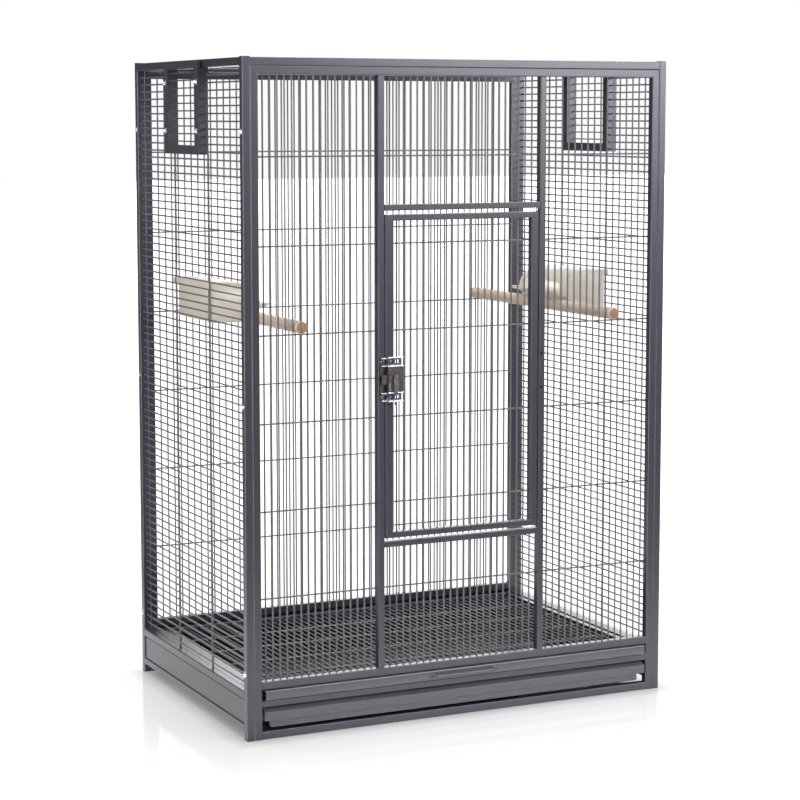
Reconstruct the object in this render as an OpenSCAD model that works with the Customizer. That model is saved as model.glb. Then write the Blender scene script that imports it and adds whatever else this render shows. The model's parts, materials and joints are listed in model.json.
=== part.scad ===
// Flight bird cage: framed wire panels, hinged front door with a latch, pull-out grate and tray,
// two nest openings with screwed covers, two hooded feeding cups and two perches.
// Millimetres. X runs across the front, Y from front to back, Z up from the floor.

/* [Cage] */
// Width across the corner posts
cage_w = 790; // [600:5:1000]
// Depth from the front face to the back face
cage_d = 520; // [400:5:700]
// Height from the floor to the top of the roof frame
cage_h = 1110; // [1000:5:1500]
// Side of the square frame tubes
tube = 13.5; // [10:0.5:16]
// Rounding along the edges of the tubes
tube_edge = 1.5; // [0.5:0.1:3]
// Spacing of the wall wires, centre to centre
pitch = 12.7; // [8:0.1:20]
// Diameter of the wall wires
wire_d = 2.3; // [1.5:0.1:3]
// Air left between wires that cross each other
wire_air = 0.1; // [0.05:0.05:0.3]
// Depth of the bars behind the face of a wall
wire_inset = 8; // [5:0.5:9]
// Thickness of the plugs in the tops of the posts
plug_h = 1.2; // [0.5:0.1:3]

/* [Front wall] */
// Middle of the cage to the middle of a mullion
mullion_x = 151.75; // [120:0.25:220]
// Width of the mullions
mullion_w = 11.5; // [10:0.5:14]
// Height of the rails round the door and of the door's own rails
rail_h = 10.5; // [9:0.5:14]
// Underside of the rail above the door
head_z = 862; // [700:1:950]
// Underside of the rail below the door
sill_z = 301; // [200:1:500]
// Underside of the lowest rail of the grille
grille_z = 83; // [75:1:120]
// Underside of the rail between grate and tray
parting_z = 54; // [50:1:60]
// Height of the rail between grate and tray
parting_h = 11.3; // [8:0.1:14]
// Air between the roof frame and the panels under it
roof_air = 0.3; // [0.2:0.1:5]
// Height of the lowest crosswire
crosswire_z = 232; // [150:1:280]
// Spacing of the crosswires
crosswire_step = 144; // [100:1:180]

/* [Side walls] */
// Underside of the side rail that carries the wires
side_rail_z = 68; // [60:1:90]
// Underside of the lower side rail
low_rail_z = 15.5; // [5:0.5:30]
// Height of the lower side rail
low_rail_h = 11.5; // [8:0.5:16]
// Thickness of the skirt plates
skirt_t = 1.5; // [0.8:0.1:3]
// Setback of the skirt plates behind the face of the frame
skirt_set = 2; // [1.5:0.5:5]
// Gap above the skirt plates
skirt_gap = 2; // [0.5:0.5:4]
// Diameter of the two uprights that carry a cup
upright_d = 3.5; // [3:0.5:6]
// Middle of the wall to an upright
upright_y = 80; // [60:1:120]

/* [Nest openings] */
// Height of the nest frame under the top rail
nest_h = 143.5; // [110:0.5:200]
// Clear width of the nest opening
nest_w = 129; // [100:1:200]
// Width of the uprights of the nest frame
nest_bar = 17.5; // [10:0.5:25]
// Height of the sill of the nest frame
nest_sill = 15; // [10:0.5:25]
// Depth of the nest frame
nest_frame_d = 13.5; // [10:0.5:20]
// How far the nest frame stands out of the wall
nest_out = 3.5; // [1:0.5:8]
// Thickness of the nest cover
cover_t = 5; // [3:0.5:8]
// Top edge of the nest cover below the top of the cage
cover_drop = 2; // [1:0.5:6]
// Height of the upper bar of the nest cover
cover_head = 12.5; // [10:0.5:30]
// Middle of the opening to a cover screw
cover_screw_y = 75; // [60:1:100]
// Lower cover screws above the foot of the nest frame
cover_screw_low = 39; // [20:1:60]
// Upper cover screws below the top rail
cover_screw_high = 23.5; // [10:0.5:40]

/* [Fasteners] */
// Diameter of the screw heads
head_d = 7; // [5:0.5:10]
// Height of the screw heads
head_h = 2.2; // [1:0.1:4]
// Diameter of the screw shanks
shank_d = 4; // [3:0.5:5]
// Depth of a shank in the part behind
shank_grip = 6; // [3:0.5:10]
// Room around a shank in its hole
shank_air = 0.1; // [0.05:0.05:0.4]
// Width of the drive slot across a head
slot_w = 1; // [0.5:0.1:1.5]
// Depth of the drive slot
slot_d = 0.8; // [0.3:0.1:1.5]
// Height of the lowest panel screws
panel_screw_z = 111; // [100:1:200]
// Highest panel screws below the top of the cage
panel_screw_top = 118; // [60:1:200]
// Number of panel screws up a post
panel_screws_n = 3; // [2:1:3]
// Side of the cage to a roof bolt
roof_bolt_in = 97; // [60:1:200]

/* [Door] */
// Air at either side of the door
door_side_air = 2; // [1.8:0.1:4]
// Air above the door
door_top_air = 6; // [4:0.5:15]
// Air below the door
door_base_air = 4.5; // [4:0.5:15]
// Hinge axis behind the front face and inside the edge of the door
hinge_inset = 3.5; // [3:0.1:4]
// Diameter of the hinge pins
pin_d = 4.5; // [3:0.5:5]
// Length of a pin inside the door
pin_door = 12; // [6:1:20]
// Length of a pin inside its rail
pin_rail = 8; // [4:1:10]
// Diameter of the hinge collars
collar_d = 7; // [6:0.5:7]
// Radial room between turning parts
run_air = 0.05; // [0.02:0.01:0.1]
// Air between parts that slide on each other
slide_air = 0.3; // [0.2:0.05:0.6]

/* [Latch] */
// Height of the middle of the latch
latch_z = 584; // [450:1:700]
// Width of the latch on the door
latch_w = 28.5; // [22:0.5:40]
// Depth of the latch case in front of the door
latch_d = 9; // [7:0.5:14]
// Height of the latch case
case_h = 43; // [30:1:60]
// Height of each bracket above and below the case
bracket_h = 15.5; // [12:0.5:25]
// Side of the square hole in each bracket
bracket_hole = 6; // [3:0.5:8]
// Square hole from the outer edge of its bracket
bracket_hole_in = 6; // [3:0.5:8]
// Thickness of the bracket and keeper sheet
sheet_t = 1.5; // [1:0.1:3]
// Width of the tab under the lower bracket
tab_w = 4; // [2:0.5:8]
// Length of the tab under the lower bracket
tab_l = 6; // [3:0.5:12]
// Height of the sliding tongue
tongue_h = 8; // [5:0.5:12]
// Thickness of the sliding tongue
tongue_t = 3.6; // [2:0.2:5]
// Length of the sliding tongue
tongue_l = 24; // [20:1:30]
// Width of the keeper on the mullion
keeper_w = 9; // [7:0.5:13]
// Height of the keeper
keeper_h = 75; // [70:1:100]
// Height of the channel round each keeper bolt
channel_h = 14; // [10:0.5:16]
// Width of the legs of the keeper's bridge
bridge_leg = 3.5; // [2:0.5:6]
// Middle of the latch to a keeper bolt
keeper_bolt_z = 29; // [20:1:36]
// Diameter of the lever's upper end
lever_d = 9.6; // [8:0.2:14]
// Diameter of the lever's lower end
lever_tip_d = 5.6; // [3:0.2:8]
// Distance between the centres of the lever's ends
lever_l = 27.5; // [20:0.5:40]
// Thickness of the lever
lever_t = 3; // [2:0.2:5]
// Lever pivot above the middle of the latch
lever_rise = 3; // [0:0.5:8]
// Lever pivot from the left edge of the latch
lever_in = 14; // [8:0.5:20]
// Diameter of the rivet that carries the lever
rivet_d = 4; // [3:0.2:5]
// Diameter of the rivet head
rivet_head_d = 6.6; // [5:0.2:8]
// Height of the rivet head
rivet_head_h = 1.2; // [0.5:0.1:2]

/* [Grate and tray] */
// Width of the flanges of the runners
runner_w = 35; // [30:1:40]
// Sheet thickness of the runners
runner_t = 1.5; // [1:0.1:3]
// Air between the ledge over a runner and the side bar of the grate
ledge_air = 1; // [0.5:0.5:4]
// Top of the upper flange that carries the grate
grate_runner_z = 66; // [64:0.5:72]
// Top of the lower flange that carries the tray
tray_runner_z = 49.7; // [40:0.1:50]
// Air between the sliding fronts and the stiles
front_air = 2; // [1:0.5:4]
// Height of the front bar of the grate
grate_front_h = 16; // [14:0.5:16.5]
// Width of the side and rear bars of the grate
grate_bar = 12; // [8:0.5:16]
// Side bars of the grate from the ends of its front bar
grate_bar_in = 2; // [1:0.5:4]
// Diameter of the grate wires
grate_wire_d = 3; // [2:0.1:4]
// Height of the grate wires above the foot of the grate
grate_wire_z = 9.5; // [8:0.5:11]
// Number of wires across the grate
grate_crosswires = 4; // [2:1:8]
// Air behind the grate and the tray
back_air = 4; // [2:0.5:10]
// Span of the grate handle
handle_w = 120; // [80:1:200]
// How far the grate handle stands out
handle_out = 18; // [12:0.5:30]
// Diameter of the handle wire
handle_d = 4; // [3:0.2:6]
// Bend radius of the handle
handle_bend = 7; // [5:0.5:12]
// Top of the tray front
tray_top_z = 53; // [52:0.1:53.5]
// Upper edge of the face of the tray front
tray_face_z = 45; // [40:0.5:48]
// Lower edge of the face of the tray front
tray_chin_z = 31; // [28:0.5:36]
// Underside of the tray
tray_z = 22.5; // [16:0.5:26]
// Setback of the face of the tray front
tray_set = 1; // [0.5:0.5:4]
// Width of the sloping lip
tray_lip = 11; // [6:0.5:12]
// Setback of the chin below the face
tray_chin_set = 6; // [3:0.5:9]
// Chin from the ends of the tray front
tray_chin_in = 13; // [6:0.5:20]
// Sheet thickness of the tray
tray_t = 1.4; // [0.8:0.1:2.5]
// Width of the rim that rides on the runners
tray_rim = 26; // [22:0.5:30]
// Inward slope of the tray wall
tray_slope = 9; // [4:0.5:15]

/* [Cups and perches] */
// Width of a feeding cup
cup_w = 165; // [130:1:180]
// Height of a feeding cup
cup_h = 68; // [60:1:90]
// Wall thickness of a cup
cup_wall = 2; // [1.5:0.1:3]
// Back of the cup behind the outer face of the wall
cup_back = 14; // [13:0.5:20]
// Flat top of the cup from back to curve
cup_flat = 34; // [20:1:50]
// Reach of the curved hood beyond the flat top
hood_reach = 52; // [40:1:70]
// Drop of the curved hood
hood_drop = 37; // [30:1:45]
// Height of the mouth under the hood
mouth_h = 15; // [10:0.5:20]
// Mouth from the ends of the cup
mouth_in = 9; // [5:0.5:20]
// Reach of the lip beyond the hood
lip_out = 17; // [8:0.5:25]
// Thickness of the front of the lip
lip_h = 4; // [3:0.5:8]
// Drop of the lip to the front wall
lip_drop = 12; // [8:0.5:15]
// Lip root behind the edge of the hood
lip_root = 7; // [4:0.5:12]
// Front foot of the cup behind the edge of the hood
foot_in = 14; // [10:0.5:25]
// Height at which the cups hook on a wire
cup_seat_z = 729; // [400:1:800]
// Height of the bridge of a cup hook
hook_h = 9.5; // [6:0.5:10]
// Length of the tongue of a cup hook, across its upright
hook_l = 10; // [8:0.5:20]
// Width of the bridge of a cup hook
hook_w = 4; // [3:0.5:6]
// Thickness of the tongue of a cup hook
hook_t = 2.3; // [1.5:0.1:3]
// Diameter of a perch
perch_d = 21; // [12:0.5:25]
// Outer face of the side wall to the middle of a perch
perch_in = 100; // [80:1:130]
// How far a perch reaches past the bars
perch_reach = 9; // [6:0.5:12]
// Crosswire on which the perches rest, counted from the lowest
perch_row = 3; // [0:1:5]
// Room in a notch around its bar
notch_air = 0.3; // [0.2:0.05:0.6]

/* [Hidden] */
$fn = 32;
// Overrun of every cut
over = 1;
// Depth by which a wire end sinks into the frame it is welded to
weld = 1.5;
half_w = cage_w / 2;
perch_out = perch_reach - wire_inset;
y_front = -cage_d / 2 + (handle_out - perch_out) / 2;
y_back = y_front + cage_d;
y_mid = (y_front + y_back) / 2;
y_in = y_front + tube;
y_rear = y_back - tube;
post_in = half_w - tube;
stile_in = post_in - tube;
roof_z = cage_h - tube;
panel_top = roof_z - roof_air;
top_rail_z = panel_top - tube;
grille_top = grille_z + tube;
side_z = side_rail_z + tube;
mull_out = mullion_x + mullion_w / 2;
mull_in = mullion_x - mullion_w / 2;
cross_inset = wire_inset + wire_d + wire_air;
crosswires = floor((top_rail_z - crosswire_z) / crosswire_step) + 1;
panel_screw_step = (cage_h - panel_screw_top - panel_screw_z) / (panel_screws_n - 1);
roof_bolt_x = half_w - roof_bolt_in;
side_inset = tube / 2;
upright_inset = side_inset + wire_d / 2 + wire_air + upright_d / 2;
nest_z = roof_z - nest_h;
nest_half = nest_w / 2 + nest_bar;
nest_x = half_w + nest_out;
cover_top = cage_h - cover_drop;
cover_low = nest_z + nest_sill;
cover_high = cover_top - cover_head;
door_x = mull_in - door_side_air;
door_z0 = sill_z + rail_h + door_base_air;
door_z1 = head_z - door_top_air;
hinge_x = door_x - hinge_inset;
hinge_y = y_front + hinge_inset;
latch_x = -door_x;
keeper_x = -mull_in - slide_air;
bridge_half = tongue_h / 2 + slide_air;
lever_x = latch_x + lever_in;
lever_z = latch_z + lever_rise;
tongue_y = y_front - (latch_d + tongue_t) / 2;
grate_x = stile_in - front_air;
grate_z = grate_runner_z + slide_air;
grate_side = grate_x - grate_bar_in;
grate_in = grate_side - grate_bar;
slide_back = y_rear - back_air;
tray_x = grate_x;
tray_front_d = tube - slide_air;
tray_wall = tray_x - tray_rim;
rim_z = tray_runner_z + slide_air;
side_span = roof_z - side_z;
hook_z = side_wire(round((cup_seat_z - side_wire(0)) / pitch)) + wire_d / 2 + slide_air / 2;
cup_top = hook_z + hook_h;
cup_z = cup_top - cup_h;
mouth_z = cup_top - hood_drop;
hood_x = cup_flat + hood_reach;
perch_z = crosswire_z + perch_row * crosswire_step + (wire_d + perch_d) / 2 + slide_air;
front_perch_bar = nearest(half_w - perch_in, (stile_in + mull_out) / 2, stile_in - mull_out);
back_perch_bar = nearest(half_w - perch_in, 0, 2 * stile_in);

steel = [0.30, 0.30, 0.33];
zinc = [0.75, 0.76, 0.78];
cream = [0.86, 0.83, 0.74];
beech = [0.80, 0.66, 0.56];
black = [0.12, 0.11, 0.11];

function bar_count(span) = floor(span / pitch);
function bar_at(mid, span, i) = mid + (i - (bar_count(span) - 1) / 2) * pitch;
function nearest(x, mid, span) =
  bar_at(mid, span, round((x - mid) / pitch + (bar_count(span) - 1) / 2));
function side_wire(i) = bar_at((roof_z + side_z) / 2, side_span, i);
function crosswire(i) = crosswire_z + i * crosswire_step;
function hood_at(a, reach, drop) = [cup_flat + reach * sin(a), mouth_z + drop * cos(a)];

// Square tube outline with rounded edges
module section(w, h) {
  translate([tube_edge, 0]) square([w - 2 * tube_edge, h]);
  translate([0, tube_edge]) square([w, h - 2 * tube_edge]);
  for (x = [tube_edge, w - tube_edge], y = [tube_edge, h - tube_edge])
    translate([x, y]) circle(tube_edge);
}
module tube_x(x0, x1, y, z, d = tube, h = tube)
  translate([x0, y, z]) rotate([90, 0, 90]) linear_extrude(x1 - x0) section(d, h);
module tube_y(y0, y1, x, z, w = tube, h = tube)
  translate([x, y1, z]) rotate([90, 0, 0]) linear_extrude(y1 - y0) section(w, h);
module tube_z(z0, z1, x, y, w = tube, d = tube)
  translate([x, y, z0]) linear_extrude(z1 - z0) section(w, d);
module wire_x(x0, x1, y, z, d = wire_d)
  translate([x0, y, z]) rotate([0, 90, 0]) cylinder(h = x1 - x0, d = d);
module wire_y(y0, y1, x, z, d = wire_d)
  translate([x, y0, z]) rotate([-90, 0, 0]) cylinder(h = y1 - y0, d = d);
module wire_z(z0, z1, x, y, d = wire_d)
  translate([x, y, z0]) cylinder(h = z1 - z0, d = d);
module box(lo, hi) translate(lo) cube(hi - lo);
module both() {
  children();
  mirror([1, 0, 0]) children();
}
module other() mirror([1, 0, 0]) children();

// Row of bars standing between two heights
module bar_row(mid, span, z0, z1, y)
  for (i = [0 : bar_count(span) - 1])
    wire_z(z0, z1, bar_at(mid, span, i), y);

// Trapezium across X and Z that cuts both ends of a rail at the mitre
module mitre_top(x0, x1, z0, z1, y) {
  run = over * tube / (z1 - z0);
  translate([0, y + tube + over, 0]) rotate([90, 0, 0]) linear_extrude(tube + 2 * over)
    polygon([[x0 - run, z1 + over], [x1 + run, z1 + over],
      [x1 - tube - run, z0 - over], [x0 + tube + run, z0 - over]]);
}

// Left stile cut at the mitre at its top, and at its foot when the frame closes there,
// to meet rails of height h
module mitre_left(x, z0, z1, y, foot, h = tube) {
  rise = over * h / tube;
  translate([0, y + tube + over, 0]) rotate([90, 0, 0]) linear_extrude(tube + 2 * over)
    polygon([[x - over, z1 + rise], [x + tube + over, z1 - h - rise],
      [x + tube + over, foot ? z0 + h + rise : z0 - over], [x - over, z0 - (foot ? rise : over)]]);
}

// Screw with a slotted head, standing on the plane z = 0 with its shank below
module screw(l) {
  difference() {
    cylinder(h = head_h, d = head_d);
    translate([-head_d / 2 - over, -slot_w / 2, head_h - slot_d])
      cube([head_d + 2 * over, slot_w, slot_d + over]);
  }
  translate([0, 0, -l]) cylinder(h = l, d = shank_d);
}
module shank_hole(l) translate([0, 0, -l]) cylinder(h = l + over, d = shank_d + 2 * shank_air);

// Places for the screws through the posts of the left side
module at_panel_screws()
  for (y = [y_front, y_rear], i = [0 : panel_screws_n - 1])
    translate([-half_w, y + tube / 2, panel_screw_z + i * panel_screw_step]) rotate([0, -90, 0]) children();

// Places for the bolts through the roof rails
module at_roof_bolts()
  for (x = [-roof_bolt_x, roof_bolt_x], y = [y_front, y_rear])
    translate([x, y + tube / 2, cage_h]) children();

// Places for the screws through the left nest cover
module at_cover_screws()
  for (y = [-cover_screw_y, cover_screw_y], z = [nest_z + cover_screw_low, roof_z - cover_screw_high])
    translate([-nest_x - cover_t, y_mid + y, z]) rotate([0, -90, 0]) children();

// Side walls
module posts() difference() {
  for (y = [y_front, y_rear]) tube_z(0, cage_h, -half_w, y);
  at_panel_screws() shank_hole(tube + over);
}
module side_rails() {
  tube_y(y_in, y_rear, -half_w, roof_z);
  tube_y(y_in, y_rear, -half_w, side_rail_z);
  tube_y(y_in, y_rear, -half_w, low_rail_z, tube, low_rail_h);
}
module side_wires() for (i = [0 : bar_count(side_span) - 1]) {
  z = side_wire(i);
  if (z < nest_z - wire_d / 2) wire_y(y_in, y_rear, -half_w + side_inset, z);
  else {
    wire_y(y_in, y_mid - nest_half, -half_w + side_inset, z);
    wire_y(y_mid + nest_half, y_rear, -half_w + side_inset, z);
  }
}
module left_posts() color(steel) posts();
module right_posts() color(steel) other() posts();
module left_rails() color(steel) side_rails();
module right_rails() color(steel) other() side_rails();
module left_wires() color(steel) side_wires();
module right_wires() color(steel) other() side_wires();
module skirt_plates() color(steel) {
  both() box([-half_w + skirt_set, y_in, low_rail_z + low_rail_h],
    [-half_w + skirt_set + skirt_t, y_rear, side_rail_z - skirt_gap]);
  box([-stile_in, y_back - skirt_t, tube], [stile_in, y_back, grille_z]);
}
module cup_uprights() color(steel) both() for (s = [-1, 1])
  wire_z(side_z, nest_z, -half_w + upright_inset, y_mid + s * upright_y, upright_d);
module post_plugs() color(black) both() for (y = [y_front, y_rear])
  tube_z(cage_h, cage_h + plug_h, -half_w, y);
module panel_screws() color(zinc) both() at_panel_screws() screw(tube + shank_grip);

// Nest openings
module nest_frame() difference() {
  translate([-nest_x, y_mid, nest_z]) difference() {
    translate([0, -nest_half, 0]) cube([nest_frame_d, 2 * nest_half, nest_h]);
    translate([-over, -nest_w / 2, nest_sill]) cube([nest_frame_d + 2 * over, nest_w, nest_h]);
  }
  at_cover_screws() shank_hole(cover_t + shank_grip + shank_air);
}
module nest_cover() difference() {
  translate([-nest_x - cover_t, y_mid, 0]) {
    difference() {
      translate([0, -nest_half, nest_z]) cube([cover_t, 2 * nest_half, cover_top - nest_z]);
      translate([-over, -nest_w / 2, cover_low])
        cube([cover_t + 2 * over, nest_w, cover_high - cover_low]);
    }
    for (i = [0 : bar_count(cover_high - cover_low) - 1])
      wire_y(-nest_w / 2 - weld, nest_w / 2 + weld, cover_t / 2,
        bar_at((cover_high + cover_low) / 2, cover_high - cover_low, i));
  }
  at_cover_screws() shank_hole(cover_t + over);
}
module nest_frame_left() color(steel) nest_frame();
module nest_frame_right() color(steel) other() nest_frame();
module nest_cover_left() color(steel) nest_cover();
module nest_cover_right() color(steel) other() nest_cover();
module nest_screws() color(zinc) both() at_cover_screws() screw(cover_t + shank_grip);

// Upright panels at the front and back
module panel_stiles(y) both() difference() {
  intersection() {
    tube_z(0, panel_top, -post_in, y);
    mitre_left(-post_in, 0, panel_top, y, false);
  }
  at_panel_screws() shank_hole(tube + shank_grip + shank_air);
}
module panel_top_rail(y) difference() {
  intersection() {
    tube_x(-post_in, post_in, y, top_rail_z);
    mitre_top(-post_in, post_in, top_rail_z, panel_top, y);
  }
  at_roof_bolts() shank_hole(tube + roof_air + shank_grip + shank_air);
}
module front_stiles() color(steel) panel_stiles(y_front);
module front_top_rail() color(steel) panel_top_rail(y_front);
module front_rails() color(steel) {
  tube_x(-stile_in, stile_in, y_front, grille_z);
  tube_x(-stile_in, stile_in, y_front, parting_z, tube, parting_h);
  tube_x(-stile_in, stile_in, y_front, 0);
}
module front_mullions() color(steel) both() difference() {
  tube_z(grille_top, top_rail_z, -mull_out, y_front, mullion_w);
  at_keeper_bolts() shank_hole(sheet_t + shank_grip + shank_air);
}
module front_crossbars() color(steel) difference() {
  for (z = [head_z, sill_z]) tube_x(-mull_in, mull_in, y_front, z, tube, rail_h);
  wire_z(door_z1, head_z + pin_rail, hinge_x, hinge_y, pin_d + 2 * run_air);
  wire_z(sill_z + rail_h - pin_rail, door_z0, hinge_x, hinge_y, pin_d + 2 * run_air);
}
module front_bars() color(steel) {
  both() bar_row(-(stile_in + mull_out) / 2, stile_in - mull_out, grille_top, top_rail_z,
    y_front + wire_inset);
  bar_row(0, 2 * mull_in, head_z + rail_h, top_rail_z, y_front + wire_inset);
  bar_row(0, 2 * mull_in, grille_top, sill_z, y_front + wire_inset);
}
module front_crosswires() color(steel) for (i = [0 : crosswires - 1]) {
  z = crosswire(i);
  both() wire_x(-stile_in, -mull_out, y_front + cross_inset, z);
  if (z > head_z + rail_h || z < sill_z) wire_x(-mull_in, mull_in, y_front + cross_inset, z);
}
module back_stiles() color(steel) panel_stiles(y_rear);
module back_top_rail() color(steel) panel_top_rail(y_rear);
module back_rails() color(steel) for (z = [0, grille_z]) tube_x(-stile_in, stile_in, y_rear, z);
module back_bars() color(steel) bar_row(0, 2 * stile_in, grille_top, top_rail_z, y_back - wire_inset);
module back_crosswires() color(steel) for (i = [0 : crosswires - 1])
  wire_x(-stile_in, stile_in, y_back - cross_inset, crosswire(i));

// Roof
module roof_rails() color(steel) difference() {
  for (y = [y_front, y_rear]) tube_x(-post_in, post_in, y, roof_z);
  at_roof_bolts() shank_hole(tube + over);
}
module roof_side_rails() color(steel) both() tube_y(y_in, y_rear, -post_in, roof_z);
module roof_bars() color(steel) for (i = [0 : bar_count(2 * stile_in) - 1])
  wire_y(y_in, y_rear, bar_at(0, 2 * stile_in, i), cage_h - wire_inset);
module roof_crosswires() color(steel) for (i = [0 : floor((y_rear - y_in) / crosswire_step) - 1])
  wire_x(-stile_in, stile_in,
    y_mid + (i - (floor((y_rear - y_in) / crosswire_step) - 1) / 2) * crosswire_step,
    cage_h - cross_inset);
module roof_bolts() color(zinc) at_roof_bolts() screw(tube + roof_air + shank_grip);

// Door
module door_stiles() color(steel) difference() {
  both() intersection() {
    tube_z(door_z0, door_z1, -door_x, y_front);
    mitre_left(-door_x, door_z0, door_z1, y_front, true, rail_h);
  }
  wire_z(door_z1 - pin_door - over, door_z1 + over, hinge_x, hinge_y, pin_d + 2 * run_air);
  wire_z(door_z0 - over, door_z0 + pin_door + over, hinge_x, hinge_y, pin_d + 2 * run_air);
}
module door_rails() color(steel) difference() {
  for (z = [0, 1]) intersection() {
    tube_x(-door_x, door_x, y_front, z == 0 ? door_z0 : door_z1 - rail_h, tube, rail_h);
    translate([0, 0, z == 0 ? door_z0 + rail_h + door_z0 : 0]) mirror([0, 0, z == 0 ? 1 : 0])
      mitre_top(-door_x, door_x, z == 0 ? door_z0 : door_z1 - rail_h,
        z == 0 ? door_z0 + rail_h : door_z1, y_front);
  }
  wire_z(door_z1 - pin_door - over, door_z1 + over, hinge_x, hinge_y, pin_d + 2 * run_air);
  wire_z(door_z0 - over, door_z0 + pin_door + over, hinge_x, hinge_y, pin_d + 2 * run_air);
}
module door_bars() color(steel)
  bar_row(0, 2 * (door_x - tube), door_z0 + rail_h, door_z1 - rail_h, y_front + wire_inset);
module door_crosswires() color(steel) for (i = [0 : crosswires - 1])
  if (crosswire(i) > door_z0 + rail_h && crosswire(i) < door_z1 - rail_h)
    wire_x(-door_x + tube, door_x - tube, y_front + cross_inset, crosswire(i));
module hinge_pins() color(zinc) {
  wire_z(door_z1 - pin_door, head_z + pin_rail, hinge_x, hinge_y, pin_d);
  wire_z(door_z1 + slide_air, head_z, hinge_x, hinge_y, collar_d);
  wire_z(sill_z + rail_h - pin_rail, door_z0 + pin_door, hinge_x, hinge_y, pin_d);
  wire_z(sill_z + rail_h, door_z0 - slide_air, hinge_x, hinge_y, collar_d);
}

// Latch
module at_keeper_bolts() for (z = [-keeper_bolt_z, keeper_bolt_z])
  translate([keeper_x - keeper_w / 2, y_front - sheet_t, latch_z + z]) rotate([90, 0, 0]) children();
module latch_keeper() color(black) {
  difference() {
    box([keeper_x - keeper_w, y_front - sheet_t, latch_z - keeper_h / 2],
      [keeper_x, y_front, latch_z + keeper_h / 2]);
    at_keeper_bolts() shank_hole(sheet_t + over);
  }
  box([keeper_x - keeper_w, y_front - latch_d, latch_z - bridge_half - bridge_leg],
    [keeper_x, tongue_y - slide_air, latch_z + bridge_half + bridge_leg]);
}
module keeper_legs() color(black) for (z = [-bridge_half - bridge_leg, bridge_half])
  box([keeper_x - keeper_w, tongue_y - slide_air, latch_z + z],
    [keeper_x, y_front - sheet_t, latch_z + z + bridge_leg]);
// Flanges above and below each bolt, which make the ends of the keeper channels
module keeper_flanges() color(zinc) for (b = [-keeper_bolt_z, keeper_bolt_z],
    f = [-channel_h / 2, channel_h / 2 - sheet_t])
  box([keeper_x - keeper_w, y_front - latch_d, latch_z + b + f],
    [keeper_x, y_front - sheet_t, latch_z + b + f + sheet_t]);
module keeper_bolts() color(zinc) at_keeper_bolts() screw(sheet_t + shank_grip);
module latch_case() color(black) difference() {
  box([latch_x, y_front - latch_d, latch_z - case_h / 2],
    [latch_x + latch_w, y_front, latch_z + case_h / 2]);
  box([latch_x - over, tongue_y - slide_air, latch_z - tongue_h / 2 - slide_air],
    [latch_x + latch_w + over, tongue_y + tongue_t + slide_air, latch_z + tongue_h / 2 + slide_air]);
}
module latch_brackets() color(zinc) for (s = [-1, 1]) {
  z0 = latch_z + (s < 0 ? -case_h / 2 - bracket_h : case_h / 2);
  difference() {
    box([latch_x, y_front - latch_d, z0], [latch_x + latch_w, y_front, z0 + bracket_h]);
    box([latch_x - over, y_front - latch_d - over, z0 + sheet_t],
      [latch_x + latch_w + over, y_front - sheet_t, z0 + bracket_h - sheet_t]);
    translate([latch_x + latch_w - bracket_hole_in - bracket_hole, y_front - sheet_t - over,
        z0 + (bracket_h - bracket_hole) / 2])
      cube([bracket_hole, sheet_t + 2 * over, bracket_hole]);
  }
  if (s < 0) box([lever_x - tab_w / 2, y_front - latch_d, z0 - tab_l],
    [lever_x + tab_w / 2, y_front - latch_d + sheet_t, z0]);
}
// Pear-shaped lever: two round ends joined along their common tangents
module lever_shape() {
  lean = asin((lever_d - lever_tip_d) / 2 / lever_l);
  circle(d = lever_d);
  translate([0, -lever_l]) circle(d = lever_tip_d);
  polygon([for (s = [-1, 1], e = s < 0 ? [0, 1] : [1, 0])
    [s * cos(lean) * (e == 0 ? lever_d : lever_tip_d) / 2,
      -e * lever_l - sin(lean) * (e == 0 ? lever_d : lever_tip_d) / 2]]);
}
module latch_lever() color(zinc)
  translate([lever_x, y_front - latch_d - slide_air, lever_z]) rotate([90, 0, 0]) difference() {
    linear_extrude(lever_t) lever_shape();
    translate([0, 0, -over]) cylinder(h = lever_t + 2 * over, d = rivet_d + 2 * run_air);
  }
module latch_rivet() color(zinc)
  translate([lever_x, y_front - latch_d, lever_z]) rotate([90, 0, 0]) {
    cylinder(h = lever_t + 2 * slide_air, d = rivet_d);
    translate([0, 0, lever_t + 2 * slide_air]) cylinder(h = rivet_head_h, d = rivet_head_d);
  }
module latch_tongue() color(zinc)
  box([latch_x - slide_air, tongue_y, latch_z - tongue_h / 2],
    [latch_x - slide_air + tongue_l, tongue_y + tongue_t, latch_z + tongue_h / 2]);

// Runners, grate and tray
module runner() {
  box([-post_in, y_in, tray_runner_z - runner_t],
    [-post_in + runner_t, y_rear, side_z - runner_t - slide_air]);
  box([-post_in, y_in, side_z - runner_t], [-grate_side - ledge_air, y_rear, side_z]);
  for (z = [tray_runner_z, grate_runner_z])
    box([-post_in, y_in, z - runner_t], [-post_in + runner_w, y_rear, z]);
}
module left_runner() color(steel) runner();
module right_runner() color(steel) other() runner();
module grate_front() color(steel) tube_x(-grate_x, grate_x, y_front, grate_z, tube, grate_front_h);
module grate_side_bars() color(steel) both() tube_y(y_in, slide_back, -grate_side, grate_z, grate_bar, tube);
module grate_back_bar() color(steel)
  tube_x(-grate_in, grate_in, slide_back - grate_bar, grate_z, grate_bar, tube);
module grate_wires() color(steel) for (i = [0 : bar_count(2 * grate_in) - 1])
  wire_y(y_in, slide_back - grate_bar, bar_at(0, 2 * grate_in, i), grate_z + grate_wire_z, grate_wire_d);
module grate_crosswires_row() color(steel) for (i = [1 : grate_crosswires])
  wire_x(-grate_in, grate_in, y_in + i * (slide_back - grate_bar - y_in) / (grate_crosswires + 1),
    grate_z + grate_wire_z - grate_wire_d - wire_air, grate_wire_d);
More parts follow.
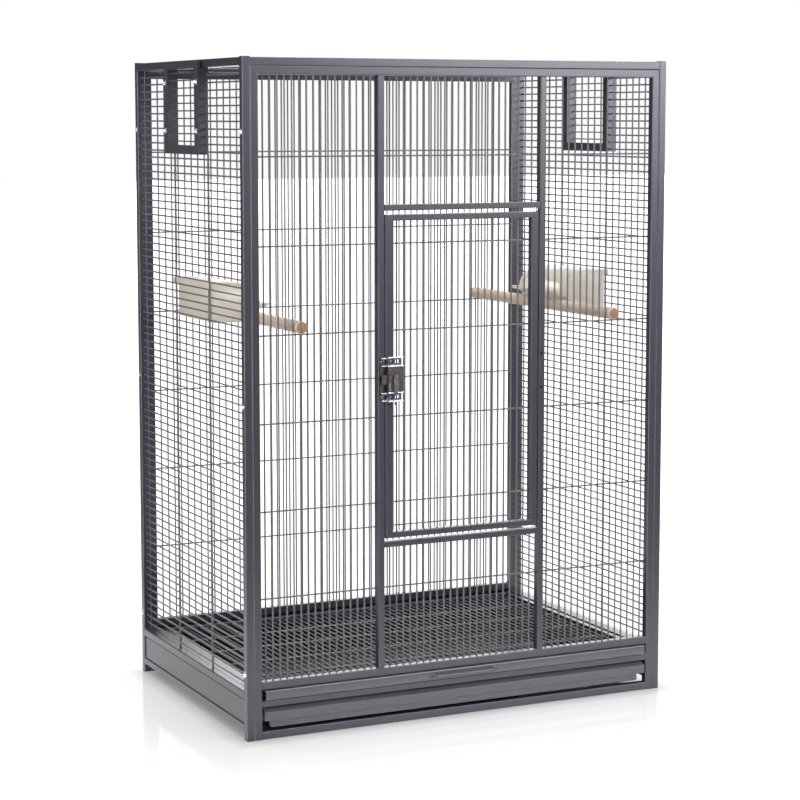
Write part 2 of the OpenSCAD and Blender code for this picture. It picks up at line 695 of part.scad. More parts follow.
module grate_handle() color(zinc) translate([0, y_front, grate_z + grate_front_h / 2]) {
  wire_x(-handle_w / 2 + handle_bend, handle_w / 2 - handle_bend, -handle_out + handle_d / 2, 0, handle_d);
  both() {
    wire_y(-handle_out + handle_d / 2 + handle_bend, 0, -handle_w / 2, 0, handle_d);
    translate([-handle_w / 2 + handle_bend, -handle_out + handle_d / 2 + handle_bend, 0]) rotate([0, 0, 180])
      rotate_extrude(angle = 90) translate([handle_bend, 0]) circle(d = handle_d);
  }
}
module tray_front() color(steel) translate([0, y_front, 0]) rotate([90, 0, 90]) {
  translate([0, 0, -tray_x]) linear_extrude(2 * tray_x)
    polygon([[tray_set, tray_chin_z], [tray_front_d, tray_chin_z], [tray_front_d, tray_top_z],
      [tray_set + tray_lip, tray_top_z], [tray_set, tray_face_z]]);
  translate([0, 0, -tray_x + tray_chin_in]) linear_extrude(2 * (tray_x - tray_chin_in))
    polygon([[tray_chin_set, tray_z], [tray_front_d, tray_z], [tray_front_d, tray_chin_z],
      [tray_chin_set, tray_chin_z]]);
}
// Outline of the tray sheet across the cage: rim, sloping wall and floor of the left half
module tray_half(t) polygon([[0, tray_z + t], [-tray_wall + tray_slope + t, tray_z + t],
  [-tray_wall + t, rim_z + tray_t], [-tray_wall + t, rim_z + tray_t + over], [0, rim_z + tray_t + over]]);
module tray_pan() color(steel) {
  y0 = y_front + tray_front_d;
  difference() {
    union() {
      box([-tray_x, y0, rim_z], [tray_x, slide_back, rim_z + tray_t]);
      translate([0, slide_back, 0]) rotate([90, 0, 0]) linear_extrude(slide_back - y0) intersection() {
        union() {
          tray_half(0);
          mirror([1, 0]) tray_half(0);
        }
        translate([-tray_x, 0]) square([2 * tray_x, rim_z + tray_t]);
      }
    }
    translate([0, slide_back - tray_t, 0]) rotate([90, 0, 0]) linear_extrude(slide_back - y0 - 2 * tray_t) {
      tray_half(tray_t);
      mirror([1, 0]) tray_half(tray_t);
    }
  }
}

// Feeding cups
module cup_outline() polygon(concat(
  [[0, cup_z], [hood_x - foot_in, cup_z], [hood_x - lip_root, mouth_z - lip_drop],
    [hood_x + lip_out, mouth_z - lip_h], [hood_x + lip_out, mouth_z]],
  [for (a = [90 : -6 : 0]) hood_at(a, hood_reach, hood_drop)],
  [[0, cup_top]]));
module cup_hollow() polygon(concat(
  [[cup_wall, cup_z + cup_wall], [hood_x - foot_in - cup_wall, cup_z + cup_wall],
    [hood_x - lip_root - cup_wall, mouth_z - lip_drop]],
  [for (a = [90 : -6 : 0]) hood_at(a, hood_reach - cup_wall, hood_drop - cup_wall)],
  [[cup_wall, cup_top - cup_wall]]));
module cup() {
  translate([-half_w + cup_back, y_mid, 0]) rotate([90, 0, 0]) difference() {
    translate([0, 0, -cup_w / 2]) linear_extrude(cup_w) cup_outline();
    translate([0, 0, -cup_w / 2 + cup_wall]) linear_extrude(cup_w - 2 * cup_wall) cup_hollow();
    translate([hood_x - lip_root - cup_wall, mouth_z, -cup_w / 2 + mouth_in])
      cube([lip_out + lip_root + cup_wall + over, mouth_h, cup_w - 2 * mouth_in]);
  }
  for (s = [-1, 1]) translate([-half_w, y_mid, 0]) mirror([0, s < 0 ? 1 : 0, 0]) cup_hook();
}
// Bridge that rests on a wire beside an upright, and a tongue across the far side of the upright
module cup_hook() {
  in = upright_y - upright_d / 2 - slide_air - hook_w;
  out = upright_inset - upright_d / 2 - slide_air - hook_t;
  box([out, in, hook_z], [cup_back + cup_wall / 2, in + hook_w, cup_top]);
  box([out, in, hook_z], [out + hook_t, in + hook_l, cup_top]);
}
module cup_left() color(cream) cup();
module cup_right() color(cream) other() cup();

// Perches, each held between a front bar and the nearest back bar
module perch() {
  run = cage_d - 2 * wire_inset;
  lean = atan((front_perch_bar - back_perch_bar) / run);
  len = run / cos(lean);
  slot = wire_d / 2 + notch_air;
  translate([-front_perch_bar, y_front + wire_inset, perch_z]) rotate([0, 0, -lean]) difference() {
    wire_y(-perch_reach, len + perch_reach, 0, 0, perch_d);
    box([-slot, -perch_reach - over, -perch_d], [slot, slot, perch_d]);
    box([-slot, len - slot, -perch_d], [slot, len + perch_reach + over, perch_d]);
  }
}
module perch_left() color(beech) perch();
module perch_right() color(beech) other() perch();

left_posts();
left_rails();
left_wires();
right_posts();
right_rails();
right_wires();
skirt_plates();
cup_uprights();
post_plugs();
panel_screws();
nest_frame_left();
nest_frame_right();
nest_cover_left();
nest_cover_right();
nest_screws();
front_stiles();
front_top_rail();
front_rails();
front_mullions();
front_crossbars();
front_bars();
front_crosswires();
back_stiles();
back_top_rail();
back_rails();
back_bars();
back_crosswires();
roof_rails();
roof_side_rails();
roof_bars();
roof_crosswires();
roof_bolts();
door_stiles();
door_rails();
door_bars();
door_crosswires();
hinge_pins();
latch_keeper();
keeper_legs();
keeper_flanges();
keeper_bolts();
latch_case();
latch_brackets();
latch_lever();
latch_rivet();
latch_tongue();
left_runner();
right_runner();
grate_front();
grate_side_bars();
grate_back_bar();
grate_wires();
grate_crosswires_row();
grate_handle();
tray_front();
tray_pan();
cup_left();
cup_right();
perch_left();
perch_right();
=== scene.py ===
import json
import math
import random

import bmesh
import bpy
from mathutils import Matrix, Vector

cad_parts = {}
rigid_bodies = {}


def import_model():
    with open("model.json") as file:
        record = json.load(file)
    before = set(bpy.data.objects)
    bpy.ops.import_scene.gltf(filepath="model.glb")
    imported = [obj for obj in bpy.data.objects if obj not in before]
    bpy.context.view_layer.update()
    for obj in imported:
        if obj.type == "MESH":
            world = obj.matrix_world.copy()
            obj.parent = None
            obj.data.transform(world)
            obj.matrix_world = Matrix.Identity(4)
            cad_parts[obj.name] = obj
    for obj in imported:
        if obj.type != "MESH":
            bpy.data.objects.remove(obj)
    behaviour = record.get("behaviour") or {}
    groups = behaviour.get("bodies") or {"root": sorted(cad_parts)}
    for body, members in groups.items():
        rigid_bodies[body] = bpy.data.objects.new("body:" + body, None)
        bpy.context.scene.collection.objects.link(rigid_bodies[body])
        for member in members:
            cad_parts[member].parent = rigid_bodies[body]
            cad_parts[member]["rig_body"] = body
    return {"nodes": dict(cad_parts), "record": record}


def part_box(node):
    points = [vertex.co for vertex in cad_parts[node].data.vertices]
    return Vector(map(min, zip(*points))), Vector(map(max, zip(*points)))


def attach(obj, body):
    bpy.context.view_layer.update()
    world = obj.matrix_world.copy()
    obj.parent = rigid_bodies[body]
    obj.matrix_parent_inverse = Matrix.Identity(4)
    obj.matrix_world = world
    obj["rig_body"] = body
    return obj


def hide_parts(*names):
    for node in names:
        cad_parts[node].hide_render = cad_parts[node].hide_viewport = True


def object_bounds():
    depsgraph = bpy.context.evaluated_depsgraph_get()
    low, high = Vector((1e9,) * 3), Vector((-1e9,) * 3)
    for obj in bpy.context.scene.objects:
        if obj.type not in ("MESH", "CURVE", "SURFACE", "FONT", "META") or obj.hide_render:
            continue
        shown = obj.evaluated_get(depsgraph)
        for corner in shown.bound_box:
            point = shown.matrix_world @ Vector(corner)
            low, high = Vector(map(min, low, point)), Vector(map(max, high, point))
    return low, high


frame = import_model()
cad_low, cad_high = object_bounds()
scene = bpy.context.scene
MM = 0.001


# Node helpers

def srgb(r, g, b):
    """A colour given in 8-bit sRGB, as the linear colour that a shader takes."""
    def linear(c):
        c = c / 255
        return c / 12.92 if c <= 0.04045 else ((c + 0.055) / 1.055) ** 2.4
    return (linear(r), linear(g), linear(b), 1)


def shade(tone, times):
    """A colour made darker or paler."""
    return [min(1, c * times) for c in tone[:3]] + [1]


def add(tree, kind, inputs=None, **settings):
    """A new node with its settings and inputs, each input a value or another node's socket."""
    made = tree.nodes.new(kind)
    for key, value in settings.items():
        setattr(made, key, value)
    for key, value in (inputs or {}).items():
        if isinstance(value, bpy.types.NodeSocket):
            tree.links.new(value, made.inputs[key])
        else:
            made.inputs[key].default_value = value
    return made


def new_material(name):
    """An empty node material, with its tree and a shader linked to the output."""
    material = bpy.data.materials.new(name)
    material.use_nodes = True
    tree = material.node_tree
    tree.nodes.clear()
    shader = add(tree, "ShaderNodeBsdfPrincipled")
    add(tree, "ShaderNodeOutputMaterial", {"Surface": shader.outputs[0]})
    return material, tree, shader


def place(tree, stretch=(1, 1, 1)):
    """Object coordinates in metres, stretched along the axes."""
    coords = add(tree, "ShaderNodeTexCoord")
    mapping = add(tree, "ShaderNodeMapping", {"Vector": coords.outputs["Object"], "Scale": stretch})
    return mapping.outputs[0]


def noise(tree, where, scale, detail=2.0, rough=0.5):
    """Noise between 0 and 1, of about scale patches to a metre."""
    made = add(tree, "ShaderNodeTexNoise",
               {"Vector": where, "Scale": scale, "Detail": detail, "Roughness": rough})
    return made.outputs["Fac"]


def ramp(tree, value, low, high, to_low=0.0, to_high=1.0):
    """A value carried from one range to another and held at its ends."""
    made = add(tree, "ShaderNodeMapRange",
               {"Value": value, "From Min": low, "From Max": high, "To Min": to_low, "To Max": to_high})
    return made.outputs[0]


MIX_SHARE, MIX_A, MIX_B, MIX_COLOUR = 0, 6, 7, 2


def mix(tree, share, a, b):
    """Colours a and b mixed by share."""
    made = add(tree, "ShaderNodeMix", {MIX_SHARE: share, MIX_A: a, MIX_B: b}, data_type="RGBA")
    return made.outputs[MIX_COLOUR]


def sum_of(tree, a, b, how="ADD"):
    """Two values added, or joined by another operation."""
    return add(tree, "ShaderNodeMath", {0: a, 1: b}, operation=how).outputs[0]


def bump(tree, shader, height, strength, distance):
    """Fine relief in a shader's normal, from a height."""
    made = add(tree, "ShaderNodeBump", {"Height": height, "Strength": strength, "Distance": distance})
    tree.links.new(made.outputs[0], shader.inputs["Normal"])


# Materials

def coated_steel(name, tone, edge=0.0, gloss=0.4, edge_highlight=2.3):
    """Textured powder coat: fine speckle, slow mottle and a painted highlight along the rounded edges, patchy with
    the mottle.
    Edge says how much of the painted highlight shows, and the last number how many times paler than the tone it is."""
    material, tree, shader = new_material(name)
    where = place(tree)
    speck = noise(tree, where, 800, 3, 0.6)
    peel = noise(tree, where, 2200, 2, 0.5)
    cloud = noise(tree, where, 9, 3, 0.6)
    dark, pale = shade(tone, 0.9), shade(tone, 1.12)
    colour = mix(tree, ramp(tree, speck, 0.34, 0.66), dark, pale)
    colour = mix(tree, ramp(tree, cloud, 0.35, 0.7, 0, 0.35), colour, pale)
    if edge:
        facing = add(tree, "ShaderNodeVectorMath",
                     {0: add(tree, "ShaderNodeTexCoord").outputs["Normal"]}, operation="ABSOLUTE")
        parts = add(tree, "ShaderNodeSeparateXYZ", {0: facing.outputs[0]})
        most = sum_of(tree, parts.outputs[0], parts.outputs[1], "MAXIMUM")
        most = sum_of(tree, most, parts.outputs[2], "MAXIMUM")
        # Painted highlight: rounded edges, where no axis of the normal leads, are made paler in patches
        painted_highlight = sum_of(tree, ramp(tree, most, 0.98, 0.78), ramp(tree, cloud, 0.25, 0.55, 0.35, 1.0), "MULTIPLY")
        colour = mix(tree, sum_of(tree, painted_highlight, edge, "MULTIPLY"), colour, shade(tone, edge_highlight))
    tree.links.new(colour, shader.inputs["Base Color"])
    tree.links.new(ramp(tree, speck, 0.3, 0.7, 0.25, 0.38), shader.inputs["Roughness"])
    shader.inputs["Specular IOR Level"].default_value = gloss
    bump(tree, shader, sum_of(tree, speck, peel), 0.05, 0.0002)
    return material


def zinc(name, tone, rough):
    """Zinc plate with faint clouds, brush marks and dull spots."""
    material, tree, shader = new_material(name)
    cloud = noise(tree, place(tree), 160, 3, 0.6)
    brush = noise(tree, place(tree, (1, 1, 14)), 900, 2, 0.5)
    colour = mix(tree, ramp(tree, cloud, 0.35, 0.68), shade(tone, 0.62), tone)
    tree.links.new(colour, shader.inputs["Base Color"])
    tree.links.new(ramp(tree, sum_of(tree, cloud, brush), 0.7, 1.3, rough - 0.1, rough + 0.14),
                   shader.inputs["Roughness"])
    shader.inputs["Metallic"].default_value = 1.0
    bump(tree, shader, brush, 0.12, 0.0001)
    return material


def cream_plastic(name):
    """Moulded cream plastic that lets some light through."""
    material, tree, shader = new_material(name)
    where = place(tree)
    cloud = noise(tree, where, 26, 3, 0.55)
    grain = noise(tree, where, 1800, 2, 0.5)
    colour = mix(tree, ramp(tree, cloud, 0.3, 0.72), srgb(242, 237, 226), srgb(249, 246, 238))
    tree.links.new(colour, shader.inputs["Base Color"])
    tree.links.new(ramp(tree, cloud, 0.3, 0.7, 0.30, 0.42), shader.inputs["Roughness"])
    shader.inputs["Transmission Weight"].default_value = 0.45
    shader.inputs["IOR"].default_value = 1.3
    bump(tree, shader, grain, 0.08, 0.0001)
    return material


def beech(name):
    """Turned beech along Y: long grain, short dark flecks, deeper colour on the cut ends."""
    material, tree, shader = new_material(name)
    long = noise(tree, place(tree, (1, 0.05, 1)), 210, 4, 0.6)
    fleck = noise(tree, place(tree, (1, 0.16, 1)), 900, 1, 0.4)
    slow = noise(tree, place(tree, (1, 0.3, 1)), 22, 2, 0.5)
    colour = mix(tree, ramp(tree, long, 0.3, 0.72), srgb(222, 198, 178), srgb(244, 226, 208))
    colour = mix(tree, ramp(tree, slow, 0.35, 0.7, 0, 0.5), colour, srgb(234, 210, 188))
    colour = mix(tree, ramp(tree, fleck, 0.66, 0.76, 0, 0.55), colour, srgb(170, 128, 102))
    ends = add(tree, "ShaderNodeSeparateXYZ", {0: add(tree, "ShaderNodeTexCoord").outputs["Normal"]})
    cut = ramp(tree, sum_of(tree, ends.outputs[1], 0.0, "ABSOLUTE"), 0.75, 0.95)
    colour = mix(tree, cut, colour, srgb(168, 120, 92))
    tree.links.new(colour, shader.inputs["Base Color"])
    tree.links.new(ramp(tree, long, 0.3, 0.7, 0.5, 0.68), shader.inputs["Roughness"])
    bump(tree, shader, long, 0.25, 0.0003)
    return material


def black_plastic(name, tone):
    """Brown-black moulded plastic, mottled and a little rubbed."""
    material, tree, shader = new_material(name)
    where = place(tree)
    cloud = noise(tree, where, 120, 3, 0.6)
    colour = mix(tree, ramp(tree, cloud, 0.35, 0.7), tone, shade(tone, 1.7))
    tree.links.new(colour, shader.inputs["Base Color"])
    tree.links.new(ramp(tree, cloud, 0.3, 0.7, 0.38, 0.6), shader.inputs["Roughness"])
    bump(tree, shader, noise(tree, where, 1600), 0.15, 0.0002)
    return material


# The pale edges of these coats are painted highlights, painted brightest on the posts
TUBES = coated_steel("coated_tubes", srgb(61, 60, 70), edge=0.9)
POSTS = coated_steel("coated_posts", srgb(60, 59, 69), edge=1.0, edge_highlight=5.5)
SHEET = coated_steel("coated_sheet", srgb(67, 66, 75), edge=0.7)
SKIRT = coated_steel("coated_skirt", srgb(65, 64, 73), edge=0.7, gloss=0.3)
# Painted highlight: the wires' coat is the tubes' coat made paler, as the sheen on thin wires
WIRES_PAINTED_HIGHLIGHT = coated_steel("coated_wires_painted_highlight", srgb(108, 105, 110))
# Painted light: the grate's wires are a paler copy of the coat, as lit from above
GRATE_PAINTED_LIGHT = coated_steel("coated_grate_painted_light", srgb(98, 97, 103))
# Painted light: the tray front and grate front are a paler copy of the coat, as lit from low in front
DRAWER_PAINTED_LIGHT = coated_steel("coated_drawer_painted_light", srgb(88, 87, 96), edge=0.8)
RUNNER = coated_steel("coated_runner", srgb(70, 69, 77), gloss=0.1)
# Painted shade: the tray pan inside the base is a darker copy of the coat
PAN_PAINTED_SHADE = coated_steel("coated_pan_painted_shade", srgb(40, 40, 46), gloss=0.12)
# Painted glints: the weld beads where the side wires end are coloured pale
WELD_PAINTED_GLINT = coated_steel("weld_spots_painted_glint", srgb(158, 158, 163))
ZINC = zinc("zinc_plate", srgb(222, 223, 230), 0.2)
DULL = zinc("dull_zinc", srgb(98, 93, 93), 0.4)
# Painted shade: a bluish zinc made dark, for the latch brackets and their screws
BLUE_ZINC_PAINTED_SHADE = zinc("blue_zinc_painted_shade", srgb(104, 105, 114), 0.24)
CREAM = cream_plastic("cream_plastic")
BEECH = beech("beech")
BLACK = black_plastic("black_plastic", srgb(38, 33, 30))

FINISHES = (
    (ZINC, ("panel_screws", "nest_screws", "roof_bolts", "hinge_pins", "keeper_bolts", "keeper_flanges",
            "latch_tongue")),
    (BLUE_ZINC_PAINTED_SHADE, ("latch_brackets",)),
    (DULL, ("latch_lever", "latch_rivet")),
    (BLACK, ("latch_case", "latch_keeper", "keeper_legs", "post_plugs")),
    (CREAM, ("cup_left", "cup_right")),
    (BEECH, ("perch_left", "perch_right")),
    (TUBES, ("grate_side_bars", "front_crossbars")),
    (GRATE_PAINTED_LIGHT, ("grate_wires", "grate_crosswires_row")),
    (POSTS, ("left_posts", "right_posts", "front_stiles", "back_stiles")),
    (PAN_PAINTED_SHADE, ("tray_pan",)),
    (SKIRT, ("skirt_plates",)),
    (RUNNER, ("right_runner",)),
    (DRAWER_PAINTED_LIGHT, ("tray_front", "grate_front")),
    (SHEET, ("left_runner", "nest_frame_left", "nest_frame_right", "nest_cover_left", "nest_cover_right")),
)
OWN_FINISH = {node: finish for finish, nodes in FINISHES for node in nodes}
WIRE_WORDS = ("wires", "bars", "uprights")
COAT = 0.25 * MM


def finish_for(name):
    """The finish of a node: its own, or that of the wires, or else that of the tubes."""
    if name in OWN_FINISH:
        return OWN_FINISH[name]
    return WIRES_PAINTED_HIGHLIGHT if any(word in name for word in WIRE_WORDS) else TUBES


for name, obj in frame["nodes"].items():
    obj.data.materials.clear()
    obj.data.materials.append(finish_for(name))
    if finish_for(name) == WIRES_PAINTED_HIGHLIGHT:
        coat = obj.modifiers.new("powder_coat", "DISPLACE")
        coat.strength, coat.mid_level = COAT, 0.0

BODY = {name: obj["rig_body"] for name, obj in frame["nodes"].items()}
SLOT = {part["node"]: part["material_slot"] for part in frame["record"]["subparts"]}
chance = random.Random(41)


# Mesh helpers

def node_mesh(name):
    """A CAD node's shape as an editable mesh, one vertex to a corner and flat faces whole."""
    made = bmesh.new()
    made.from_mesh(frame["nodes"][name].data)
    bmesh.ops.remove_doubles(made, verts=made.verts, dist=1e-6)
    bmesh.ops.dissolve_limit(made, angle_limit=math.radians(1), verts=made.verts, edges=made.edges)
    return made


def solids(name):
    """The separate solids of a CAD node, each as its lowest and highest corner."""
    made = node_mesh(name)
    left = set(made.verts)
    boxes = []
    while left:
        todo = [left.pop()]
        group = list(todo)
        while todo:
            for edge in todo.pop().link_edges:
                for vert in edge.verts:
                    if vert in left:
                        left.remove(vert)
                        group.append(vert)
                        todo.append(vert)
        boxes.append((Vector([min(v.co[i] for v in group) for i in range(3)]),
                      Vector([max(v.co[i] for v in group) for i in range(3)])))
    made.free()
    return sorted(boxes, key=lambda box: [round(c, 6) for c in (*box[0], *box[1])])


def piece(made, name, material, body, slot, stands_for=(), bevel=0.0, sharp=35):
    """A mesh as a piece of the object: its finish, its body and the CAD nodes it stands for, which it hides. The
    slot is not used.
    """
    mesh = bpy.data.meshes.new(name)
    made.to_mesh(mesh)
    made.free()
    mesh.materials.append(material)
    mesh.polygons.foreach_set("use_smooth", [True] * len(mesh.polygons))
    obj = bpy.data.objects.new(name, mesh)
    scene.collection.objects.link(obj)
    if bevel:
        edges = obj.modifiers.new("rounded_edges", "BEVEL")
        edges.width, edges.segments = bevel, 3
        edges.limit_method, edges.angle_limit = "ANGLE", math.radians(sharp)
        obj.modifiers.new("flat_faces", "WEIGHTED_NORMAL")
    else:
        mesh.set_sharp_from_angle(angle=math.radians(sharp))
    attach(obj, body)
    if stands_for:
        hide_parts(*stands_for)


def rounded(name, bevel):
    """A node's own shape with its edges rounded."""
    piece(node_mesh(name), name + "_rounded", finish_for(name), BODY[name], SLOT[name], (name,), bevel)


def lathe(made, profile, where, sides=32):
    """Turns (radius, height) points about a local Z axis and adds the shape to a mesh."""
    rings = []
    for radius, height in profile:
        turns = [2 * math.pi * i / sides for i in range(sides)] if radius else [0]
        rings.append([made.verts.new(where @ Vector((radius * math.cos(a), radius * math.sin(a), height)))
                      for a in turns])
    for a, b in zip(rings, rings[1:]):
        for i in range(sides):
            corners = [a[i % len(a)], a[(i + 1) % len(a)], b[(i + 1) % len(b)], b[i % len(b)]]
            corners = list(dict.fromkeys(corners))
            if len(corners) > 2:
                made.faces.new(corners)


def facing(at, out, spin=0.0):
    """The place of a thing that stands at a point, with its local Z along out."""
    turn = Vector((0, 0, 1)).rotation_difference(Vector(out)).to_matrix().to_4x4()
    return Matrix.Translation(at) @ turn @ Matrix.Rotation(spin, 4, "Z")


def block(made, low, high):
    """A box between two corners, added to a mesh."""
    ends = (low, high)
    corners = [made.verts.new((ends[i][0], ends[j][1], ends[k][2]))
               for k in (0, 1) for i, j in ((0, 0), (1, 0), (1, 1), (0, 1))]
    for face in ((3, 2, 1, 0), (4, 5, 6, 7), (0, 1, 5, 4), (1, 2, 6, 5), (2, 3, 7, 6), (3, 0, 4, 7)):
        made.faces.new([corners[i] for i in face])


def skin(made, rings):
    """Faces between rings of vertices, each ring joined to the next, all turned outward."""
    for a, b in zip(rings, rings[1:]):
        for i in range(len(a)):
            made.faces.new((a[i - 1], a[i], b[i], b[i - 1]))
    bmesh.ops.recalc_face_normals(made, faces=made.faces)


BLUNT = math.radians(150)


def softened(points, radius):
    """A closed outline with each corner that is not blunt turned into a short curve."""
    out = []
    for i, here in enumerate(points):
        here, back, on = Vector(here), Vector(points[i - 1]), Vector(points[(i + 1) % len(points)])
        a, b = back - here, on - here
        if a.angle(b) > BLUNT:
            out.append(tuple(here))
            continue
        reach = min(radius, 0.45 * a.length, 0.45 * b.length)
        start, end = here + a.normalized() * reach, here + b.normalized() * reach
        for t in (0, 0.25, 0.5, 0.75, 1):
            out.append(tuple(start * (1 - t) ** 2 + here * 2 * t * (1 - t) + end * t ** 2))
    return out


def prism(outline, start, end, fillet):
    """A solid with an outline in X and Z, run along Y, with its end edges rounded."""
    made = bmesh.new()
    near = [made.verts.new((x, start, z)) for x, z in outline]
    far = [made.verts.new((x, end, z)) for x, z in outline]
    caps = [made.faces.new(near), made.faces.new(far[::-1])]
    for i in range(len(outline)):
        made.faces.new((near[i - 1], near[i], far[i], far[i - 1]))
    bmesh.ops.recalc_face_normals(made, faces=made.faces)
    rim = list({edge for cap in caps for edge in cap.edges})
    bmesh.ops.bevel(made, geom=rim, offset=fillet, segments=4, profile=0.5, affect="EDGES", clamp_overlap=True)
    return made


def cut_from(solid, cutters):
    """A solid with cutters taken out of it, as an editable mesh."""
    made = []
    for number, part in enumerate([solid] + cutters):
        bmesh.ops.recalc_face_normals(part, faces=part.faces)
        mesh = bpy.data.meshes.new("cut_%d" % number)
        part.to_mesh(mesh)
        part.free()
        made.append(bpy.data.objects.new(mesh.name, mesh))
        scene.collection.objects.link(made[-1])
    for cutter in made[1:]:
        step = made[0].modifiers.new("cut", "BOOLEAN")
        step.operation, step.solver, step.object = "DIFFERENCE", "EXACT", cutter
    bpy.context.view_layer.update()
    result = bmesh.new()
    result.from_object(made[0], bpy.context.evaluated_depsgraph_get())
    for obj in made:
        mesh = obj.data
        bpy.data.objects.remove(obj)
        bpy.data.meshes.remove(mesh)
    return result


# Screws

HEAD, PROUD, HEAD_GROWTH = 2.8 * MM, 0.6 * MM, 1.12
NARROW, BROAD = 0.48, 0.66


def screw(made, top, out, across, length, flange=NARROW):
    """A domed screw with a cross recess and a flange under its head, its top at a point and facing out."""
    where = facing(top, out, chance.uniform(0, math.pi))
    radius, sides, steps = across / 2, 40, 12

    def depth(x, y):
        near, far = sorted((abs(x), abs(y)))
        half_slot, reach, slope = 0.16 * radius, 0.66 * radius, 0.12 * radius
        inside = min(half_slot - near, reach - far) / slope + 0.5
        return 0.5 * HEAD * min(1, max(0, inside))

    rings = [[made.verts.new(where @ Vector((0, 0, -depth(0, 0))))]]
    for k in range(1, steps + 1):
        ring = []
        for i in range(sides):
            a = 2 * math.pi * i / sides
            x, y = radius * k / steps * math.cos(a), radius * k / steps * math.sin(a)
            ring.append(made.verts.new(where @ Vector((x, y, -0.5 * HEAD * (k / steps) ** 3 - depth(x, y)))))
        rings.append(ring)
    wide = 2 * flange * radius
    for r, z in ((radius, -0.72 * HEAD), (wide, -0.78 * HEAD), (wide, -HEAD), (0.5 * radius, -HEAD),
                 (0.5 * radius, -length)):
        rings.append([made.verts.new(where @ Vector((r * math.cos(2 * math.pi * i / sides),
                                                     r * math.sin(2 * math.pi * i / sides), z)))
                      for i in range(sides)])
    for a, b in zip(rings, rings[1:]):
        for i in range(sides):
            corners = [a[i % len(a)], b[i], b[(i + 1) % sides], a[(i + 1) % len(a)]]
            made.faces.new(list(dict.fromkeys(corners)))
    made.faces.new(rings[-1])


def screws(name, out_of, flange=NARROW, finish=ZINC):
    """Detailed screws in place of a node's plain ones."""
    made = bmesh.new()
    for low, high in solids(name):
        mid, size = (low + high) / 2, high - low
        out = out_of(mid)
        axis = max(range(3), key=lambda i: abs(out[i]))
        mid[axis] = high[axis] + PROUD if out[axis] > 0 else low[axis] - PROUD
        across = HEAD_GROWTH * max(size[i] for i in range(3) if i != axis)
        screw(made, mid, out, across, size[axis] + PROUD, flange)
    piece(made, name + "_heads", finish, BODY[name], SLOT[name], (name,))


def sideways(mid):
    """The way out of the side wall that a point is on."""
    return (math.copysign(1, mid.x), 0, 0)


screws("panel_screws", sideways, BROAD)
screws("nest_screws", sideways, BROAD)
screws("roof_bolts", lambda mid: (0, 0, 1))
screws("keeper_bolts", lambda mid: (0, -1, 0), finish=BLUE_ZINC_PAINTED_SHADE)


# Cups and perches

CUP_FLAT, HOOD, DROP, LIP, WALL = 34 * MM, 52 * MM, 37 * MM, 17 * MM, 2 * MM
HOOK_T, HOOK_W, HOOK_L, HOOK_H, HOOK_OVER = 2.3 * MM, 4 * MM, 10 * MM, 9.5 * MM, 1.45 * MM
MOUTH_EDGE, MOUTH_TALL = 9 * MM, 15 * MM


def cup(name, side):
    """A hooded cup with rounded walls, an open mouth and the two hooks that hold it to the wires."""
    low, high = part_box(name)
    top, base, mouth = high.z, low.z, high.z - DROP
    y0, y1 = low.y + HOOK_OVER, high.y - HOOK_OVER
    lip_x = min(abs(low.x), abs(high.x))
    hook_x = max(abs(low.x), abs(high.x))
    reach = CUP_FLAT + HOOD
    back = lip_x + reach + LIP

    def hood(shrink):
        arc = [math.radians(a) for a in range(90, -1, -6)]
        return [(CUP_FLAT + (HOOD - shrink) * math.sin(a), mouth + (DROP - shrink) * math.cos(a)) for a in arc]

    def set_in(points):
        return [(side * (back - u), z) for u, z in points]

    foot, root, dip = reach - 16 * MM, reach - 7 * MM, mouth - 12 * MM
    outer = [(0, base), (foot, base), (root, dip), (reach + LIP, mouth - 4 * MM), (reach + LIP, mouth)]
    inner = [(WALL, base + WALL), (foot - WALL, base + WALL), (root - WALL, dip)]
    shell = prism(set_in(softened(outer + hood(0) + [(0, top)], 4 * MM)), y0, y1, 3.5 * MM)
    hollow = prism(set_in(softened(inner + hood(WALL) + [(WALL, top - WALL)], 3 * MM)), y0 + WALL, y1 - WALL, 2 * MM)
    opening = bmesh.new()
    ends = sorted((side * (back - reach + MOUTH_EDGE), side * (lip_x - MM)))
    block(opening, (ends[0], y0 + MOUTH_EDGE, mouth), (ends[1], y1 - MOUTH_EDGE, mouth + MOUTH_TALL))
    piece(cut_from(shell, [hollow, opening]), name + "_moulded", CREAM, BODY[name], SLOT[name], (name,), sharp=30)
    hooks = bmesh.new()
    for y, way in ((low.y, 1), (high.y, -1)):
        outer_x, inner_x = side * hook_x, side * (back - WALL / 2)
        spans = ((outer_x, inner_x, HOOK_L - HOOK_W, HOOK_L), (outer_x, outer_x - side * HOOK_T, 0, HOOK_L))
        for xa, xb, ya, yb in spans:
            xs, ys = sorted((xa, xb)), sorted((y + way * ya, y + way * yb))
            block(hooks, (xs[0], ys[0], top - HOOK_H), (xs[1], ys[1], top - 0.3 * MM))
    piece(hooks, name + "_hooks", CREAM, BODY[name], SLOT[name], (), 0.6 * MM)


NOTCH_W, NOTCH_L, END_ZONE, RINGS = 2.9 * MM, 10.45 * MM, 4 * MM, 24


